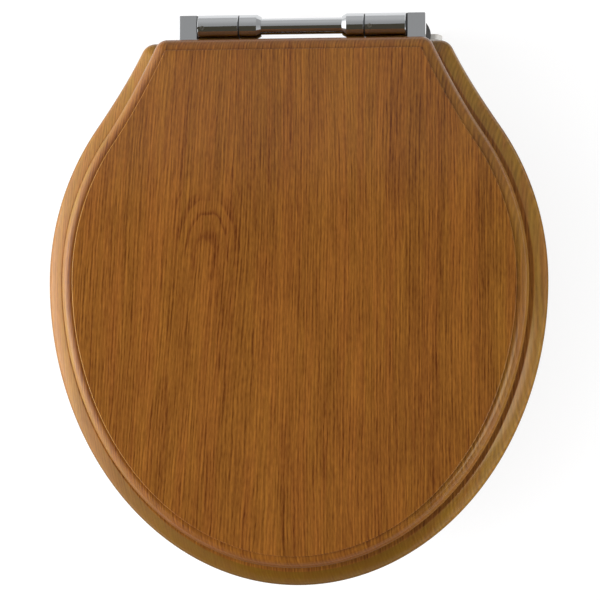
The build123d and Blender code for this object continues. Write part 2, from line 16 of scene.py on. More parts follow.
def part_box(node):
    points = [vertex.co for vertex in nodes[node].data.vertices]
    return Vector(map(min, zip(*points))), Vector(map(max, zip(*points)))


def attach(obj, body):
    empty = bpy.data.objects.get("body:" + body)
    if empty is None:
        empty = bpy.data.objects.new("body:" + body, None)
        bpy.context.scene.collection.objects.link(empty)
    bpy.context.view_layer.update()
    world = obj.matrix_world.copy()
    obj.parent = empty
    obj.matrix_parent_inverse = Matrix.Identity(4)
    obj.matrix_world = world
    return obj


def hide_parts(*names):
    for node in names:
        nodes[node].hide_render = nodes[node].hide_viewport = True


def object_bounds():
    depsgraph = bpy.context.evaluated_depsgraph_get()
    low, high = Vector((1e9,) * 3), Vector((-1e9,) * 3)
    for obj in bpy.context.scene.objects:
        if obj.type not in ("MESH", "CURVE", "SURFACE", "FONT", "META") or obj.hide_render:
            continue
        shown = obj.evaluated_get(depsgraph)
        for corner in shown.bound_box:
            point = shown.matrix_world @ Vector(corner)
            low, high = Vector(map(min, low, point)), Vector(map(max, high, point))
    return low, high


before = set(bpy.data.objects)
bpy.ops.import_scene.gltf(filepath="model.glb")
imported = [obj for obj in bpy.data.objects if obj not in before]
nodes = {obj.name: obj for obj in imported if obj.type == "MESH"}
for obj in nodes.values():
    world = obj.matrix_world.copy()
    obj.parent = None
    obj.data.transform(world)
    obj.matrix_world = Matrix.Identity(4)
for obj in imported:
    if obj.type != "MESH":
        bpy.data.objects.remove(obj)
cad_box = [list(corner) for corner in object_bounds()]

# %% [markdown]
# ## Camera
#
# The photograph looks almost straight down on the closed lid, from far off. The lid's edge, the
# ring's edge and the barrels lie at different heights, and their shifts against each other give the
# camera's lean: a little to the right and a little to the front. A long lens keeps the outline true.

# %% Place the camera
LEAN_RIGHT = math.radians(6.0)
LEAN_FRONT = math.radians(2.7)
CAMERA_DISTANCE = 2.127
CAMERA_LENS = 173.0
AIM = Vector((-0.0026, -0.2017, 0.020))

toward = Vector((math.tan(LEAN_RIGHT), -math.tan(LEAN_FRONT), 1.0)).normalized()
right = Vector((0.0, 1.0, 0.0)).cross(toward).normalized()
camera = bpy.data.objects.new("camera", bpy.data.cameras.new("camera"))
camera.data.lens = CAMERA_LENS
camera.matrix_world = Matrix.Translation(AIM + toward * CAMERA_DISTANCE) @ Matrix(
    (right, toward.cross(right), toward)
).transposed().to_4x4()
bpy.context.scene.collection.objects.link(camera)
bpy.context.scene.camera = camera
bpy.context.scene.view_settings.view_transform = "Standard"
print("camera looks down from", [round(value, 3) for value in camera.matrix_world.translation])

# %% [markdown]
# ## Small helpers for node trees
#
# Shader trees and geometry trees are built the same way: add a node, set its options, and feed each
# socket a constant or another node's output. Sums and products get short names.


# %% Helpers for nodes
def feed(tree, node, inputs):
    """Links a node's inputs, by name or number, to other nodes' outputs, or sets their constants."""
    for name, value in inputs.items():
        if isinstance(value, bpy.types.NodeSocket):
            tree.links.new(value, node.inputs[name])
        else:
            node.inputs[name].default_value = value


def add(tree, kind, inputs=None, **options):
    """Adds a node with these options and inputs."""
    made = tree.nodes.new(kind)
    for name, value in options.items():
        setattr(made, name, value)
    feed(tree, made, inputs or {})
    return made


def calc(tree, operation, *values):
    """A Math node on constants or outputs, as an output."""
    return add(tree, "ShaderNodeMath", dict(enumerate(values)), operation=operation).outputs[0]


def ramp(tree, value, low, high, start=0.0, end=1.0):
    """Moves a value smoothly from start to end while it goes from low to high."""
    inputs = {"Value": value, "From Min": low, "From Max": high, "To Min": start, "To Max": end}
    return add(tree, "ShaderNodeMapRange", inputs, interpolation_type="SMOOTHSTEP").outputs[0]


def times(tree, *values):
    """The product of two or more values."""
    product = values[0]
    for value in values[1:]:
        product = calc(tree, "MULTIPLY", product, value)
    return product


def times_plus(tree, value, factor, more):
    """A product of two values, with a third added."""
    return calc(tree, "MULTIPLY_ADD", value, factor, more)


def less(tree, value, other):
    """One value less another."""
    return calc(tree, "SUBTRACT", value, other)


def new_material(name):
    """A material and its node tree."""
    material = bpy.data.materials.new(name)
    material.use_nodes = True
    return material, material.node_tree


def parts(tree, vector):
    """The X, Y and Z outputs of a vector."""
    return add(tree, "ShaderNodeSeparateXYZ", {0: vector}).outputs


def joined(tree, x, y, z):
    """A vector of three values."""
    return add(tree, "ShaderNodeCombineXYZ", {"X": x, "Y": y, "Z": z}).outputs[0]


def object_place(tree):
    """Where a point lies on the object itself, in metres."""
    return add(tree, "ShaderNodeTexCoord").outputs["Object"]


print("helpers ready")

# %% [markdown]
# ## Floor, world and lamps
#
# The seat is held up by its studs, so the floor lies just under their ends. The background of the
# photograph is white. A floor that is lit at a plain level is only pale, so it also glows, but only
# for the rays of the camera and of reflections. The floor still takes the shadow.

# %% Floor
FLOOR_REACH = 12.0
FLOOR_DROP = 0.0005
FLOOR_COLOUR = (0.36, 0.36, 0.36, 1.0)
FLOOR_GLOW = 0.72


def seen_rays(tree):
    """One for rays of the camera, of reflections and of glass, and nought for diffuse light."""
    path = add(tree, "ShaderNodeLightPath")
    seen = calc(tree, "MAXIMUM", path.outputs["Is Camera Ray"], path.outputs["Is Glossy Ray"])
    return calc(tree, "MAXIMUM", seen, path.outputs["Is Transmission Ray"])


def pale_floor():
    """Grey paper with a glow that makes it look white and lights nothing."""
    material, tree = new_material("pale floor")
    tree.nodes.clear()
    paper = add(tree, "ShaderNodeBsdfDiffuse", {"Color": FLOOR_COLOUR})
    strength = times(tree, seen_rays(tree), FLOOR_GLOW)
    glow = add(tree, "ShaderNodeEmission", {"Strength": strength})
    both = add(tree, "ShaderNodeAddShader", {0: paper.outputs[0], 1: glow.outputs[0]})
    add(tree, "ShaderNodeOutputMaterial", {"Surface": both.outputs[0]})
    return material


def level_sheet(name, left, right, front, rear, level, material):
    """A flat rectangle of the stage, which is no part of the object."""
    mesh = bpy.data.meshes.new(name)
    corners = [(left, front, level), (right, front, level), (right, rear, level), (left, rear, level)]
    mesh.from_pydata(corners, [], [(0, 1, 2, 3)])
    mesh.materials.append(material)
    sheet = bpy.data.objects.new(name, mesh)
    bpy.context.scene.collection.objects.link(sheet)
    return sheet


floor_level = cad_box[0][2] - FLOOR_DROP
level_sheet("floor", -FLOOR_REACH, FLOOR_REACH, -FLOOR_REACH, FLOOR_REACH, floor_level, pale_floor())
print("floor at", round(floor_level, 4))

# %% [markdown]
# The studio is an even grey tent. Its left wall glows strongly, and there are weaker glows to the front
# right and behind. Each glow is strongest at the horizon and fades upwards and to both sides. The lacquer
# shows them as soft veils on the mouldings that face them. The camera itself sees plain white.

# %% World
STUDIO_TOP = 0.51
STUDIO_HORIZON = 0.32
STUDIO_EVEN_FROM = 0.8
GLOWS = (
    {"azimuth": math.radians(180.0), "narrow": 8.0, "strength": 4.8},
    {"azimuth": math.radians(-40.0), "narrow": 4.0, "strength": 0.5},
    {"azimuth": math.radians(90.0), "narrow": 2.0, "strength": 0.45},
)

world = bpy.data.worlds.new("studio")
bpy.context.scene.world = world
world.use_nodes = True
tree = world.node_tree
tree.nodes.clear()
direction = add(tree, "ShaderNodeTexCoord").outputs["Generated"]
heading = parts(tree, direction)
tent = ramp(tree, heading["Z"], 0.0, STUDIO_EVEN_FROM, STUDIO_HORIZON, STUDIO_TOP)
level_part = less(tree, 1.0, times(tree, heading["Z"], heading["Z"]))
for glow in GLOWS:
    along = times(tree, heading["X"], math.cos(glow["azimuth"]))
    along = times_plus(tree, heading["Y"], math.sin(glow["azimuth"]), along)
    facing = calc(tree, "MAXIMUM", calc(tree, "DIVIDE", along, calc(tree, "SQRT", level_part)), 0.0)
    share = times(tree, calc(tree, "POWER", facing, glow["narrow"]), level_part)
    tent = times_plus(tree, share, glow["strength"], tent)
camera_ray = add(tree, "ShaderNodeLightPath").outputs["Is Camera Ray"]
background = add(tree, "ShaderNodeBackground", {"Strength": calc(tree, "MAXIMUM", tent, camera_ray)})
add(tree, "ShaderNodeOutputWorld", {"Surface": background.outputs[0]})
print("studio from", STUDIO_TOP, "overhead to", STUDIO_HORIZON, "at the horizon")

# %% [markdown]
# On the photograph the barrels are light at the back and dark towards the viewer, with a hard line
# along the top, and the lacquer of the lid has no veil of white over it. Both come from something
# dark overhead on the viewer's side. The undersides of the chrome and the outermost edges of the wood
# are dark too, although the ground is white. Two dark cards do it, one overhead and one on the floor
# under the wood. A bright card under the overhead one makes the pale gleam along the ring's crest at
# the front right. Only reflections see the cards: they throw no shadow and change no other light.

# %% Cards for reflections
CARD_HEIGHT = 1.1
SHINE_DROP = 0.01
TABLE_LIFT = 0.0002
CARDS = {
    "overhead card": {
        "reach": {"left": -0.65, "right": 1.1, "front": -2.2, "rear": 0.035},
        "level": CARD_HEIGHT,
        "shade": (0.080, 0.070, 0.050, 1.0),
    },
    "table card": {
        "reach": {"left": -0.30, "right": 0.60, "front": -1.0, "rear": 0.0},
        "level": floor_level + TABLE_LIFT,
        "shade": (0.20, 0.18, 0.15, 1.0),
    },
    "bright card": {
        "reach": {"left": 0.46, "right": 1.25, "front": -0.80, "rear": -0.32},
        "level": CARD_HEIGHT - SHINE_DROP,
        "shade": (4.6, 4.0, 2.9, 1.0),
    },
}


def card_material(name, shade):
    """An even shade that does not depend on the light."""
    material, tree = new_material(name)
    tree.nodes.clear()
    even = add(tree, "ShaderNodeEmission", {"Color": shade})
    add(tree, "ShaderNodeOutputMaterial", {"Surface": even.outputs[0]})
    return material


for name, card in CARDS.items():
    material = card_material(name, card["shade"])
    sheet = level_sheet(name, level=card["level"], material=material, **card["reach"])
    sheet.visible_camera = False
    sheet.visible_diffuse = False
    sheet.visible_transmission = False
    sheet.visible_shadow = False
    print(name, "at height", round(card["level"], 4))

# %% [markdown]
# The left mouldings are more than twice as bright as the field, and the light falls off quickly towards
# the front and the back. So one large soft box stands low on the left. A weaker one stands opposite, a
# little to the front, and lights the right side about as much as the field. Reflections show only the
# glows of the tent behind them.

# %% Soft boxes
BOX_ELEVATION = math.radians(12.0)
BOX_DISTANCE = 1.5
BOX_HEIGHT = 0.6
BOXES = {
    "key lamp": {"azimuth": math.radians(180.0), "power": 31.0, "width": 0.8},
    "fill lamp": {"azimuth": math.radians(-25.0), "power": 18.0, "width": 1.6},
}


def soft_box(name, azimuth, power, width):
    """A wide lamp that faces the seat from low down at an azimuth, counted from the right."""
    lamp = bpy.data.lights.new(name, "AREA")
    lamp.shape = "RECTANGLE"
    lamp.size = width
    lamp.size_y = BOX_HEIGHT
    lamp.energy = power
    away = Vector((math.cos(azimuth), math.sin(azimuth), math.tan(BOX_ELEVATION))).normalized()
    box = bpy.data.objects.new(name, lamp)
    box.location = AIM + away * BOX_DISTANCE
    box.rotation_euler = away.to_track_quat("Z", "Y").to_euler()
    bpy.context.scene.collection.objects.link(box)
    box.visible_glossy = False
    print(name, "at", [round(value, 2) for value in box.location])


for name, settings in BOXES.items():
    soft_box(name, **settings)

# %% [markdown]
# ## Outline of the wood
#
# Lid and ring share one kind of outline: half an ellipse at the front, a wider arc behind it, sides
# that flare into a straight back, and round back corners. It follows from a few lengths, so a short
# function samples it, densely where it turns fast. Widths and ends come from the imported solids.

# %% Sample the outline
RING_FRONT = 0.224
RING_REAR_AXIS = 0.194
FLARE_START = math.radians(35.5)
FLARE_LEAN = math.radians(26.0)
RING_BACK_HALF = 0.1125
RING_CORNER = 0.011
LID_BACK_HALF = 0.0995
LID_CORNER = 0.010
CURVE_STEP = 0.003
CORNER_STEP = 0.0007


def arc(middle, across, along, start, end, step):
    """Points on an elliptical arc about a middle, between two angles, about one step apart."""
    count = math.ceil(abs(end - start) * max(across, along) / step)
    angles = [start + (end - start) * i / count for i in range(count + 1)]
    return [(middle[0] + across * math.cos(a), middle[1] + along * math.sin(a)) for a in angles]


def flare(start, start_angle, end, end_angle):
    """Points on the smooth cubic between two points with these headings, about one step apart."""
    chord = math.dist(start, end)
    count = math.ceil(chord / CURVE_STEP)
    points = []
    for i in range(count + 1):
        t = i / count
        keep, leave = 2 * t**3 - 3 * t**2 + 1, chord * (t**3 - 2 * t**2 + t)
        meet, arrive = 3 * t**2 - 2 * t**3, chord * (t**3 - t**2)
        x = keep * start[0] + leave * math.cos(start_angle) + meet * end[0] + arrive * math.cos(end_angle)
        y = keep * start[1] + leave * math.sin(start_angle) + meet * end[1] + arrive * math.sin(end_angle)
        points.append((x, y))
    return points


def wood_outline(half, front, rear_axis, back, back_half, corner):
    """The closed outline about the middle of its widest line, anticlockwise from the front."""
    front_part = arc((0, 0), half, front, math.radians(-90), 0, CURVE_STEP)
    rear_part = arc((0, 0), half, rear_axis, 0, FLARE_START, CURVE_STEP)
    heading = math.atan2(rear_axis * math.cos(FLARE_START), -half * math.sin(FLARE_START))
    side_heading = math.radians(90) + FLARE_LEAN
    cut = corner * math.tan((math.radians(90) - FLARE_LEAN) / 2)
    side_end = (back_half + cut * math.sin(FLARE_LEAN), back - cut * math.cos(FLARE_LEAN))
    side_part = flare(rear_part[-1], heading, side_end, side_heading)
    round_middle = (back_half - cut, back - corner)
    round_part = arc(round_middle, corner, corner, FLARE_LEAN, math.radians(90), CORNER_STEP)
    half_way = front_part + rear_part[1:] + side_part[1:] + round_part[1:]
    return half_way + [(-x, y) for x, y in reversed(half_way[1:])]


ring_low, ring_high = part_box("seat_ring")
lid_low, lid_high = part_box("lid_panel")
wood_x = (ring_low.x + ring_high.x) / 2
widest_y = ring_low.y + RING_FRONT
ring_half = (ring_high.x - ring_low.x) / 2
wood_back = ring_high.y - widest_y
inset = ring_half - (lid_high.x - lid_low.x) / 2
ring_outline = wood_outline(ring_half, RING_FRONT, RING_REAR_AXIS, wood_back, RING_BACK_HALF, RING_CORNER)
lid_outline = wood_outline(
    ring_half - inset, RING_FRONT - inset, RING_REAR_AXIS - inset, wood_back, LID_BACK_HALF, LID_CORNER
)
print("outlines of", len(ring_outline), "and", len(lid_outline), "points; lid inset", round(inset, 4))

# %% [markdown]
# The opening is two half ellipses on the same widest line, a long one to the front and a short one
# behind. It keeps fixed margins from the ring's front and back.

# %% Opening in the ring
HOLE_HALF = 0.112
HOLE_FRONT_MARGIN = 0.070
HOLE_BACK_MARGIN = 0.062

hole_front = arc((0, 0), HOLE_HALF, RING_FRONT - HOLE_FRONT_MARGIN, math.radians(-180), 0, CURVE_STEP)
hole_rear = arc((0, 0), HOLE_HALF, wood_back - HOLE_BACK_MARGIN, 0, math.radians(180), CURVE_STEP)
hole_outline = hole_front + hole_rear[1:-1]
print("opening of", len(hole_outline), "points")

# %% [markdown]
# ## Sections of the edges
#
# A moulder cuts the same section all the way round a board. Each section here is a list of points:
# how far out from the outline, and how high. The lid has a quarter round, a narrow ledge and a small
# step up to its field. The arris of that step is softened, as sanding and lacquer leave it, and that
# soft arris is the thin bright line along the left of the photograph. The ring's level top ends at a
# crest, and a band slopes from there to its rounded flank. The band is a little crowned, as sanding
# leaves it, and so its upper half can catch a gleam.

# %% Draw the sections
RING_ROUND = 0.006
RING_TOP_INSET = 0.0109
BAND_LOW = math.radians(59.0)
BAND_HIGH = math.radians(71.0)
RING_CREST = 0.003
RING_UNDER_ROUND = 0.004
HOLE_ROUND = 0.010
LID_OVOLO = 0.008
LID_UNDER_ROUND = 0.003
FIELD_INSET = 0.0087
FIELD_STEP = 0.0012
STEP_ARRIS = 0.0006
ROUND_STEP = 0.0007
ARRIS_STEP = 0.00012


def quarter(middle, radius, start_degrees, step):
    """A quarter circle of section points, anticlockwise from a start angle."""
    start = math.radians(start_degrees)
    return arc(middle, radius, radius, start, start + math.radians(90), step)


def edge_section(low, high, under_round, top_round):
    """Section of a plainly rounded edge, from its underside to its top."""
    under = quarter((-under_round, low + under_round), under_round, -90, ROUND_STEP)
    return under + quarter((-top_round, high - top_round), top_round, 0, ROUND_STEP)


def bend(last, radius, start_angle, end_angle, step):
    """An arc that goes on from the last point, between two angles of its own radius."""
    middle = (last[0] - radius * math.cos(start_angle), last[1] - radius * math.sin(start_angle))
    return arc(middle, radius, radius, start_angle, end_angle, step)[1:]


def ring_section():
    """The ring's outer edge: rounded flank, slightly crowned sloping band and soft crest."""
    under = quarter((-RING_UNDER_ROUND, ring_low.z + RING_UNDER_ROUND), RING_UNDER_ROUND, -90, ROUND_STEP)
    left_over = RING_TOP_INSET - RING_ROUND * (1 - math.cos(BAND_LOW)) - RING_CREST * math.cos(BAND_HIGH)
    crown = left_over / (math.cos(BAND_LOW) - math.cos(BAND_HIGH))
    rise = RING_ROUND * math.sin(BAND_LOW) + crown * (math.sin(BAND_HIGH) - math.sin(BAND_LOW))
    rise += RING_CREST * (1 - math.sin(BAND_HIGH))
    points = under + arc((-RING_ROUND, ring_high.z - rise), RING_ROUND, RING_ROUND, 0, BAND_LOW, ROUND_STEP)
    points += bend(points[-1], crown, BAND_LOW, BAND_HIGH, ROUND_STEP)
    return points + bend(points[-1], RING_CREST, BAND_HIGH, math.radians(90), ARRIS_STEP)


def lid_section():
    """The lid's moulded edge: quarter round, ledge, step and soft arris."""
    ledge = lid_high.z - FIELD_STEP
    edge = edge_section(lid_low.z, ledge, LID_UNDER_ROUND, LID_OVOLO)
    arris = quarter((-FIELD_INSET - STEP_ARRIS, lid_high.z - STEP_ARRIS), STEP_ARRIS, 0, ARRIS_STEP)
    return edge + [(-FIELD_INSET, ledge)] + arris


ring_edge = ring_section()
hole_edge = [(-out, up) for out, up in edge_section(ring_low.z, ring_high.z, RING_UNDER_ROUND, HOLE_ROUND)]
lid_edge = lid_section()
print("sections of", len(ring_edge), len(hole_edge), "and", len(lid_edge), "points")

# %% [markdown]
# ## Boards from an outline and a section
#
# The rule of both boards is the same: carry the section round the outline, then close the top and
# the bottom with flat faces. Geometry Nodes say that rule once. The tree sweeps the section, finds
# the open edges, fills them at the two levels and welds everything to one closed skin. It also
# stores how far along the section each point lies, so that a finish can find the ledge again.


# %% A tree that makes a moulded board
def curve_from(name, points, closed, place=(0.0, 0.0)):
    """A flat polyline curve object, kept only as an ingredient of a tree."""
    curve = bpy.data.curves.new(name, "CURVE")
    curve.dimensions = "3D"
    spline = curve.splines.new("POLY")
    spline.points.add(len(points) - 1)
    for point, (x, y) in zip(spline.points, points):
        point.co = (x + place[0], y + place[1], 0.0, 1.0)
    spline.use_cyclic_u = closed
    return bpy.data.objects.new(name, curve)


def section_from(name, section):
    """A section as a curve, head down, because a sweep hangs the section's Y axis from its path."""
    return curve_from(name, [(out, -up) for out, up in section], False)


def new_tree(name, inputs):
    """An empty geometry tree with these named inputs; returns it with its input node's outputs."""
    tree = bpy.data.node_groups.new(name, "GeometryNodeTree")
    tree.interface.new_socket("Geometry", in_out="OUTPUT", socket_type="NodeSocketGeometry")
    for label, kind in inputs.items():
        tree.interface.new_socket(label, in_out="INPUT", socket_type=kind)
    return tree, add(tree, "NodeGroupInput").outputs


def sweep(tree, path, section):
    """Carries a section along a level path, upright, and notes each point's place on the section."""
    path_curve = add(tree, "GeometryNodeObjectInfo", {"Object": path}).outputs["Geometry"]
    upright = add(tree, "GeometryNodeSetCurveNormal", {0: path_curve}, mode="Z_UP")
    section_curve = add(tree, "GeometryNodeObjectInfo", {"Object": section}).outputs["Geometry"]
    place = add(tree, "GeometryNodeSplineParameter").outputs["Factor"]
    mark = {0: section_curve, "Name": "moulding", "Value": place}
    marked = add(tree, "GeometryNodeStoreNamedAttribute", mark)
    profile = {"Curve": upright.outputs[0], "Profile Curve": marked.outputs[0]}
    return add(tree, "GeometryNodeCurveToMesh", profile).outputs[0]


COUNT_SLACK = 0.1


def close_level(tree, strips, level, comparison, middle):
    """Flat faces in the open loops of the strips above or below the middle, at a level."""
    section_end = 1.0 if comparison == "GREATER_THAN" else 0.0
    faces = add(tree, "GeometryNodeInputMeshEdgeNeighbors").outputs[0]
    is_open = calc(tree, "COMPARE", faces, 1.0, COUNT_SLACK)
    height = parts(tree, add(tree, "GeometryNodeInputPosition").outputs[0])["Z"]
    chosen = times(tree, is_open, calc(tree, comparison, height, middle))
    loops = add(tree, "GeometryNodeMeshToCurve", {"Mesh": strips, "Selection": chosen})
    filled = add(tree, "GeometryNodeFillCurve", {"Curve": loops.outputs[0]})
    offset = joined(tree, 0.0, 0.0, level)
    moved = add(tree, "GeometryNodeTransform", {"Geometry": filled.outputs[0], "Translation": offset})
    mark = {0: moved.outputs[0], "Name": "moulding", "Value": section_end}
    return add(tree, "GeometryNodeStoreNamedAttribute", mark).outputs[0]


def close_skin(tree, given, strips, weld):
    """Closes strips at the levels Top and Bottom, welds all to one skin and gives it its finish."""
    middle = times(tree, calc(tree, "ADD", given["Bottom"], given["Top"]), 0.5)
    skin = add(tree, "GeometryNodeJoinGeometry")
    tree.links.new(strips, skin.inputs[0])
    for level, comparison in (("Top", "GREATER_THAN"), ("Bottom", "LESS_THAN")):
        tree.links.new(close_level(tree, strips, given[level], comparison, middle), skin.inputs[0])
    welded = add(tree, "GeometryNodeMergeByDistance", {"Geometry": skin.outputs[0], "Distance": weld})
    real = add(tree, "GeometryNodeRealizeInstances", {0: welded.outputs[0]})
    finish = {"Geometry": real.outputs[0], "Material": given["Finish"]}
    add(tree, "NodeGroupOutput", {0: add(tree, "GeometryNodeSetMaterial", finish).outputs[0]})


BOARD_WELD = 0.00001
BOARD_CURVES = ("Outline", "Section", "Hole", "Hole Section")
BOARD_INPUTS = {
    **dict.fromkeys(BOARD_CURVES, "NodeSocketObject"),
    "Bottom": "NodeSocketFloat",
    "Top": "NodeSocketFloat",
    "Finish": "NodeSocketMaterial",
}


def moulded_board_tree():
    """Sweeps the edges of a board, closes it and sets its material."""
    tree, given = new_tree("moulded board", BOARD_INPUTS)
    strips = add(tree, "GeometryNodeJoinGeometry")
    tree.links.new(sweep(tree, given["Outline"], given["Section"]), strips.inputs[0])
    tree.links.new(sweep(tree, given["Hole"], given["Hole Section"]), strips.inputs[0])
    close_skin(tree, given, strips.outputs[0], BOARD_WELD)
    return tree


board_tree = moulded_board_tree()
print("tree with", len(board_tree.nodes), "nodes")

# %% [markdown]
# A tree is only a recipe. The next helper hangs it on an empty mesh, sets its inputs by their socket
# identifiers, and keeps the result as a plain mesh.


# %% Make a tree's result a plain mesh
SMOOTH_ANGLE = math.radians(32.0)


def tidy_skin(mesh):
    """Turns all faces outwards and shades them smooth up to sharp edges."""
    skin = bmesh.new()
    skin.from_mesh(mesh)
    bmesh.ops.recalc_face_normals(skin, faces=skin.faces)
    open_edges = sum(not edge.is_manifold for edge in skin.edges)
    skin.to_mesh(mesh)
    skin.free()
    mesh.shade_smooth()
    mesh.set_sharp_from_angle(angle=SMOOTH_ANGLE)
    print(mesh.name, "has", len(mesh.polygons), "faces and", open_edges, "open edges")


def grow(name, tree, **values):
    """A new object whose mesh is what a geometry tree makes of these inputs."""
    made = bpy.data.objects.new(name, bpy.data.meshes.new(name))
    bpy.context.scene.collection.objects.link(made)
    recipe = made.modifiers.new("recipe", "NODES")
    recipe.node_group = tree
    for socket in tree.interface.items_tree:
        key = socket.name.lower().replace(" ", "_")
        if socket.in_out == "INPUT" and key in values:
            recipe[socket.identifier] = values[key]
    graph = bpy.context.evaluated_depsgraph_get()
    mesh = bpy.data.meshes.new_from_object(made.evaluated_get(graph), depsgraph=graph)
    made.modifiers.remove(recipe)
    made.data = mesh
    tidy_skin(mesh)
    return made


print("helper ready")

# %% [markdown]
# ## Oak
#
# Oak shows its growth rings as bands, and its large pores as short dark dashes along the grain. A
# board cut beside the heart of the log shows nested arches where the rings run out. The figure is
# worked out in space, from the distance to a leaning heart line, so the end grain at the front
# belongs to the same rings as the face.

# %% Colours of the oak
SCREEN_MOST = 255
SCREEN_KNEE = 0.04045
SCREEN_SLOPE = 12.92
SCREEN_OFFSET = 0.055
SCREEN_POWER = 2.4


def to_linear(share):
    """The light that a screen gives for a share of its full signal."""
    if share <= SCREEN_KNEE:
        return share / SCREEN_SLOPE
    return ((share + SCREEN_OFFSET) / (1 + SCREEN_OFFSET)) ** SCREEN_POWER


def paint(*screen_colour):
    """A colour as it looks on the screen, from 0 to 255, as the linear colour that nodes use."""
    return (*(to_linear(value / SCREEN_MOST) for value in screen_colour), 1.0)


FACE_OAK = {
    "dark": paint(88, 43, 3),
    "pale": paint(154, 98, 31),
    "dark red": paint(89, 41, 4),
    "pale red": paint(155, 95, 32),
}
EDGE_OAK = {
    "dark": paint(97, 63, 4),
    "pale": paint(162, 119, 38),
    "dark red": paint(99, 57, 6),
    "pale red": paint(161, 108, 41),
}
print("oak palettes with", len(FACE_OAK), "colours each")

# %% [markdown]
# Everything uneven in the finishes is noise. Stretched along one axis it makes the streaks of wood, and
# left even it makes the clouds of plating and rubber.


# %% Noise helpers
def mix(tree, share, first, second):
    """A colour between two colours."""
    inputs = {0: share, 6: first, 7: second}
    return add(tree, "ShaderNodeMix", inputs, data_type="RGBA").outputs[2]


def cloud(tree, place, scale, detail, offset=0.0):
    """Noise with its own scale along each axis, from 0 to 1."""
    moved = add(tree, "ShaderNodeMapping", {"Vector": place, "Scale": scale, "Location": (offset,) * 3})
    inputs = {"Vector": moved.outputs[0], "Scale": 1.0, "Detail": detail}
    return add(tree, "ShaderNodeTexNoise", inputs).outputs[0]


def stripes(tree, distance, per_metre, detail):
    """Noise along one distance, from 0 to 1."""
    inputs = {"W": distance, "Scale": per_metre, "Detail": detail}
    return add(tree, "ShaderNodeTexNoise", inputs, noise_dimensions="1D").outputs[0]


print("noise helpers ready")

# %% [markdown]
# The rows of pores are fine lines along the grain. Even lines would look like a pinstripe, so noise
# shifts them sideways and fades them in groups. Two sets of rows with different spacings cross slowly.

# %% Rows of pores
ONE_OCTAVE = 1.0
TWO_OCTAVES = 2.0
PORE_ROWS = (
    {"per_metre": 440.0, "offset": 0.0, "share": 0.27},
    {"per_metre": 290.0, "offset": 3.7, "share": 0.15},
)
PORE_SLANT = 0.6
PORE_DRIFT = {"scale": (120.0, 10.0, 60.0), "share": 1.2}
PORE_SHAKE = {"scale": (450.0, 50.0, 180.0), "share": 0.9}
PORE_GROUPS = (420.0, 60.0, 150.0)
PORE_FADE = (0.32, 0.68)
PORE_LEAST = 0.2


def pore_lines(tree, waving, rows):
    """Rows of pores: fine lines that drift together and apart, and come and go, from -1 to 1."""
    axes = parts(tree, waving)
    count = times_plus(tree, axes["Z"], PORE_SLANT, axes["X"])
    count = times(tree, count, rows["per_metre"])
    for shift in (PORE_DRIFT, PORE_SHAKE):
        drift = cloud(tree, waving, shift["scale"], ONE_OCTAVE, rows["offset"])
        count = times_plus(tree, drift, shift["share"], count)
    lines = calc(tree, "SINE", times(tree, count, 2 * math.pi))
    groups = cloud(tree, waving, PORE_GROUPS, TWO_OCTAVES, rows["offset"])
    return times(tree, lines, ramp(tree, groups, *PORE_FADE, PORE_LEAST, 1.0))


print("pores in", len(PORE_ROWS), "sets of rows")

# %% [markdown]
# The figure adds up: arched rings near the heart, broad and narrow streaks along the grain, the rows of
# pores, and a few single dark streaks of the board in the photograph. It gives two shares, how pale
# the wood is and how red.

# %% Figure of the oak
WANDER_SCALE = (14.0, 3.5, 14.0)
WANDER = 0.012
RIPPLE_SCALE = (70.0, 34.0, 70.0)
RIPPLE = 0.0060
RING_SPACING = 0.0065
RING_UNEVEN = 1.6
BANDS_PER_METRE = 60.0
BLUSH_SCALE = (130.0, 9.0, 130.0)
TONE_LAYERS = (
    {"scale": (26.0, 3.0, 26.0), "share": 0.34},
    {"scale": (60.0, 6.0, 60.0), "share": 0.46},
    {"scale": (200.0, 14.0, 70.0), "share": 0.36},
    {"scale": (700.0, 45.0, 220.0), "share": 0.55},
    {"scale": (1100.0, 200.0, 330.0), "share": 0.6},
)
LEAN_FADE = (-0.08, 0.03)
LINE_PEAK = 0.15
LINE_END = 0.5
LINE_COVER = 1 / 6
HEART_FADE = (0.020, 0.045)
FAR_LINES = 0.25
RING_SHARE = 0.36
RING_RED = 0.25
RED_FADE = (0.36, 0.72)
BLUSH_OCTAVES = 3.0
MIDDLE_TONE = 0.5
BREAK_SCALE = (75.0, 60.0, 75.0)
BREAK_FADE = (0.30, 0.62)


def streak_share(tree, place, streak):
    """One along the middle of a single long streak, and nought beside it and past its ends."""
    middle = times_plus(tree, place["Y"], streak["lean"], streak["x"])
    beside = calc(tree, "ABSOLUTE", less(tree, place["X"], middle))
    past = calc(tree, "ABSOLUTE", calc(tree, "ADD", place["Y"], -streak["y"]))
    across = ramp(tree, beside, 0.0, streak["half"], 1.0, 0.0)
    return times(tree, across, ramp(tree, past, streak["reach"] / 2, streak["reach"], 1.0, 0.0))


def heart_distance(tree, grain, heart):
    """How far a point lies to the side of the heart of its log, and how far from it in all."""
    place = parts(tree, grain)
    wander = cloud(tree, grain, WANDER_SCALE, ONE_OCTAVE)
    wander = times_plus(tree, wander, WANDER, -WANDER / 2)
    across = less(tree, calc(tree, "ADD", place["X"], wander), heart["x"])
    lean = ramp(tree, place["X"], *LEAN_FADE, heart["lean"], 0.0)
    past_front = less(tree, heart["front"], place["Y"])
    across = times_plus(tree, lean, past_front, across)
    dip = ramp(tree, place["Y"], heart["front"], heart["back"], heart["shallow"], heart["deep"])
    depth = less(tree, dip, less(tree, place["Z"], heart["top"]))
    squares = calc(tree, "ADD", times(tree, across, across), times(tree, depth, depth))
    ripple = times(tree, cloud(tree, grain, RIPPLE_SCALE, TWO_OCTAVES), RIPPLE)
    return across, calc(tree, "ADD", calc(tree, "SQRT", squares), ripple)


